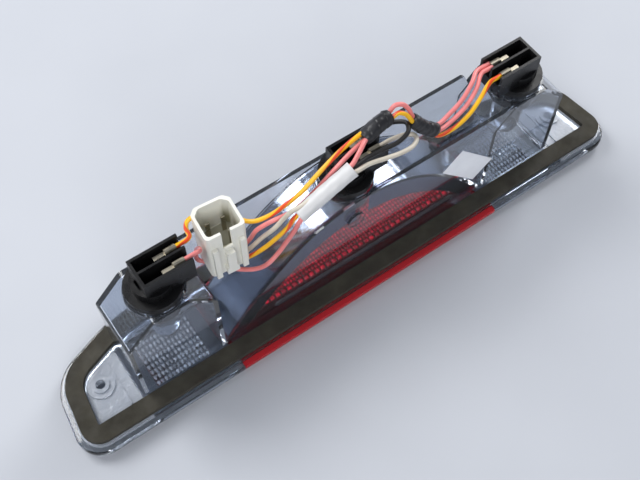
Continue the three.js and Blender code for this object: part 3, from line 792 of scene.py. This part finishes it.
# ---- nodes that keep their CAD shape ----------------------------------------------------------
KEPT = [
    ("housing_clear", HOUSING, 0.45),
    ("foam_seal", FOAM, 0.5),
    ("stop_reflector", MIRROR, 0.25),
    ("connector_housing", NYLON, 0.3),
]
for side in SOCKETS:
    KEPT += [
        (f"socket_{side}", BLACK, 0.22), (f"socket_seal_{side}", RUBBER, 0.3),
        (f"terminal_{side}_near", TIN, 0.12), (f"terminal_{side}_far", TIN, 0.12),
    ]
KEPT += [(f"connector_pin_{i}", TIN, 0.12) for i in (1, 2, 3)]
for name, material, width in KEPT:
    node = NODES[name]
    node.data.materials.clear()
    node.data.materials.append(material)
    soften(node, width)


# ---- label ------------------------------------------------------------------------------------
def label():
    """A blank paper label, glued on the web and lifting a little at one corner."""
    across, along = 24, 12
    centre = Vector(LABEL_PLACE)
    tilt = math.radians(LABEL_TILT)
    x_axis = Vector((math.cos(tilt), 0, -math.sin(tilt)))
    z_axis = Vector((math.sin(tilt), 0, math.cos(tilt)))
    vertices, faces = [], []
    for layer in (0, 1):
        for j in range(along + 1):
            for i in range(across + 1):
                u, v = i / across - 0.5, j / along - 0.5
                lift = 0.5 * max(0.0, u + v - 0.55) ** 1.5
                lift += 0.03 * math.sin(14 * u) * math.cos(9 * v)
                p = centre + x_axis * LABEL_SIZE[0] * u + z_axis * LABEL_SIZE[1] * v
                vertices.append((p.x, p.y - lift + (0.18 if layer else 0.0), p.z))
    size = (across + 1) * (along + 1)
    for layer in (0, 1):
        for j in range(along):
            for i in range(across):
                a = layer * size + j * (across + 1) + i
                face = (a, a + 1, a + across + 2, a + across + 1)
                faces.append(face if layer == 0 else tuple(reversed(face)))
    for j in range(along):
        for i in (0, across):
            a = j * (across + 1) + i
            faces.append((a, a + across + 1, a + across + 1 + size, a + size))
    for i in range(across):
        for j in (0, along):
            a = j * (across + 1) + i
            faces.append((a, a + 1, a + 1 + size, a + size))
    piece = mesh_object("blank_label", vertices, faces, smooth=False)
    finish_piece(piece, PAPER)
    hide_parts("paper_label")


label()


# ---- bulbs ------------------------------------------------------------------------------------
for side, (x, _facing) in SOCKETS.items():
    place = (x, SOCKET_Y, BACK)
    body = f"socket_{side}"
    glass = lathe(f"bulb_glass_{side}", [
        (0.01, 24.0), (1.6, 24.2), (3.6, 24.9), (5.4, 26.3), (6.8, 28.6), (7.6, 31.6), (7.85, 35),
        (7.85, 50), (7.4, 53.4), (6.6, 56), (5.4, 58), (5.4, 62.5), (4.6, 63.4), (0.01, 63.4),
    ], place, 36)
    shade(glass, 50)
    finish_piece(glass, BULB_GLASS, body)
    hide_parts(f"bulb_{side}")
    for hand, letter in ((-1, "a"), (1, "b")):
        post = [(x + hand * 2.4, SOCKET_Y, BACK + 58), (x + hand * 2.4, SOCKET_Y, BACK + 46),
                (x + hand * 3.2, SOCKET_Y, BACK + 39), (x + hand * 3.0, SOCKET_Y, FILAMENT_Z)]
        lead = sweep(f"bulb_lead_{side}_{letter}", smooth_line(post, 1.0), 0.28, sides=8)
        finish_piece(lead, TIN, body)
    coil, steps = [], 80
    for k in range(steps + 1):
        turn = k * 1.1
        y, z = SOCKET_Y + 0.4 * math.cos(turn), FILAMENT_Z + 0.4 * math.sin(turn)
        coil.append((x - 3 + 6 * k / steps, y, z))
    wound = sweep(f"bulb_filament_{side}", [Vector(p) for p in coil], 0.12, sides=6)
    finish_piece(wound, FILAMENT, body)


# ---- stage and light --------------------------------------------------------------------------
def stage():
    """A plain pale floor, just under the lamp."""
    size, gap = 3.0, 0.0002
    mesh = bpy.data.meshes.new("floor")
    corners = [(-size, -size, 0), (size, -size, 0), (size, size, 0), (-size, size, 0)]
    mesh.from_pydata(corners, [], [(0, 1, 2, 3)])
    floor = bpy.data.objects.new("floor", mesh)
    bpy.context.scene.collection.objects.link(floor)
    floor.location.z = -gap
    n = Nodes("floor")
    dark, light = (0.50, 0.52, 0.56), (0.54, 0.56, 0.60)
    n.set(Base_Color=n.colours(n.noise(6.0, 3.0), (0.3, dark), (0.7, light)), Roughness=0.9)
    mesh.materials.append(n.material)


def lamp(name, place, aim, size, power):
    """A soft rectangular studio light."""
    data = bpy.data.lights.new(name, "AREA")
    data.shape = "RECTANGLE"
    data.size, data.size_y = size
    data.energy = power
    light = bpy.data.objects.new(name, data)
    light.location = place
    light.rotation_mode = "QUATERNION"
    light.rotation_quaternion = (Vector(aim) - Vector(place)).to_track_quat("-Z", "Y")
    bpy.context.scene.collection.objects.link(light)


stage()
lamp("key", (-0.45, 0.75, 0.95), (0, 0, 0.03), (0.7, 0.5), 11)
lamp("fill", (-0.7, -0.9, 0.9), (0, 0, 0.03), (0.9, 0.9), 9)
lamp("rim", (0.9, 0.3, 0.7), (0, 0, 0.05), (0.4, 0.8), 7)
world = bpy.data.worlds.new("world")
bpy.context.scene.world = world
world.use_nodes = True
world.node_tree.nodes["Background"].inputs["Color"].default_value = (0.62, 0.66, 0.75, 1)
world.node_tree.nodes["Background"].inputs["Strength"].default_value = 0.45
bpy.context.scene.view_settings.view_transform = "Standard"
